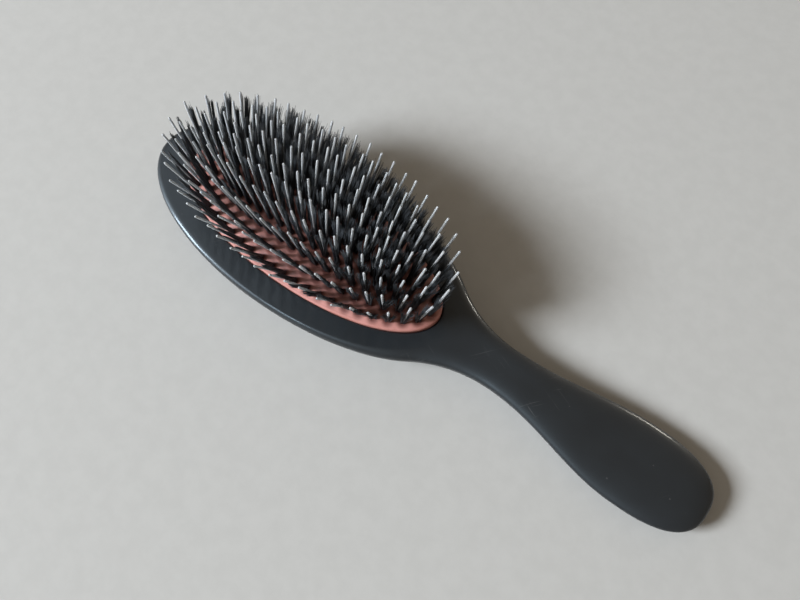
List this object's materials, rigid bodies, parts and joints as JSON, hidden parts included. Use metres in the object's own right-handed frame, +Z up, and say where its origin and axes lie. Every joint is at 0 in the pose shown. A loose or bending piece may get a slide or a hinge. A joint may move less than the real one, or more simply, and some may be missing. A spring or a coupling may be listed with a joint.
{
  "type": "cushion hair brush",
  "caption": "Oval cushion hair brush: glossy black one-piece handle, domed rubber pad that gives when pressed, and splayed bristle tufts with nylon quills in nested oval rings.",
  "frame": {"origin": "under the middle of the whole brush, on the surface that it lies on", "axes": "+X from the head to the end of the grip, +Y to the side, +Z up along the bristles; the brush lies on its back"},
  "size_m": [0.224, 0.061, 0.0452],
  "materials": {
    "body": "polished black, lightly scratched",
    "pad": "salmon natural rubber, satin",
    "bristle": "near-black animal bristle",
    "nylon": "pale grey translucent nylon",
    "wire": "bright drawn wire"
  },
  "bodies": {
    "handle": {"handle_body": "body", "cushion_pad": "pad"},
    "ring_1": {"bristle_tufts_ring_1": "bristle", "nylon_quills_ring_1": "nylon", "anchor_wires_ring_1": "wire"},
    "ring_2": {"bristle_tufts_ring_2": "bristle", "nylon_quills_ring_2": "nylon", "anchor_wires_ring_2": "wire"},
    "ring_3": {"bristle_tufts_ring_3": "bristle", "nylon_quills_ring_3": "nylon", "anchor_wires_ring_3": "wire"},
    "ring_4": {"bristle_tufts_ring_4": "bristle", "nylon_quills_ring_4": "nylon", "anchor_wires_ring_4": "wire"},
    "ring_5": {"bristle_tufts_ring_5": "bristle", "nylon_quills_ring_5": "nylon", "anchor_wires_ring_5": "wire"}
  },
  "joints": [
    {"name": "cushion_press", "type": "slide", "parent": "handle", "child": "ring_5", "axis": [0, 0, -1], "range_m": [0, 0.004], "stiffness_N_per_m": 2500, "deforming": ["cushion_pad"]},
    {"name": "ring_4_press", "type": "slide", "parent": "handle", "child": "ring_4", "axis": [0, 0, -1], "range_m": [0, 0.00364]},
    {"name": "ring_3_press", "type": "slide", "parent": "handle", "child": "ring_3", "axis": [0, 0, -1], "range_m": [0, 0.00292]},
    {"name": "ring_2_press", "type": "slide", "parent": "handle", "child": "ring_2", "axis": [0, 0, -1], "range_m": [0, 0.002]},
    {"name": "ring_1_press", "type": "slide", "parent": "handle", "child": "ring_1", "axis": [0, 0, -1], "range_m": [0, 0.00096]}
  ],
  "couplings": [
    {"joint": "ring_4_press", "follows": "cushion_press", "ratio": 0.91},
    {"joint": "ring_3_press", "follows": "cushion_press", "ratio": 0.73},
    {"joint": "ring_2_press", "follows": "cushion_press", "ratio": 0.5},
    {"joint": "ring_1_press", "follows": "cushion_press", "ratio": 0.24}
  ]
}
